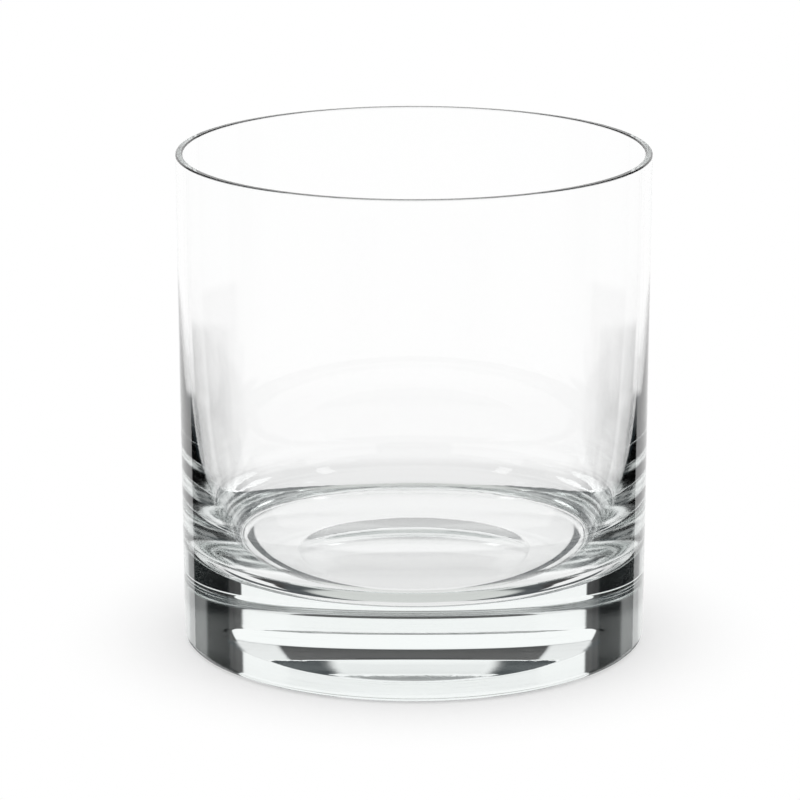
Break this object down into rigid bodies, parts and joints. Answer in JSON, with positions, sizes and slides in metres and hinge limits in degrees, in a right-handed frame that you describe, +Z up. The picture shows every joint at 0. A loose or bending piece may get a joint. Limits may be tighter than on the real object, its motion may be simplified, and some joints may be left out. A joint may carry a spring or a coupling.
{
  "type": "whiskey tumbler",
  "caption": "Straight-sided clear glass tumbler with a thin wall, a heavy base, a dished inner floor and a shallow hollow underneath.",
  "frame": {"origin": "on the axis of the glass, in the plane it stands on", "axes": "+Z up along the axis of the glass, from the base to the lip; the glass looks the same all round"},
  "size_m": [0.0854, 0.0854, 0.09],
  "materials": {
    "clear_glass": "polished clear glass"
  },
  "bodies": {
    "root": {"tumbler": "clear_glass"}
  },
  "joints": []
}
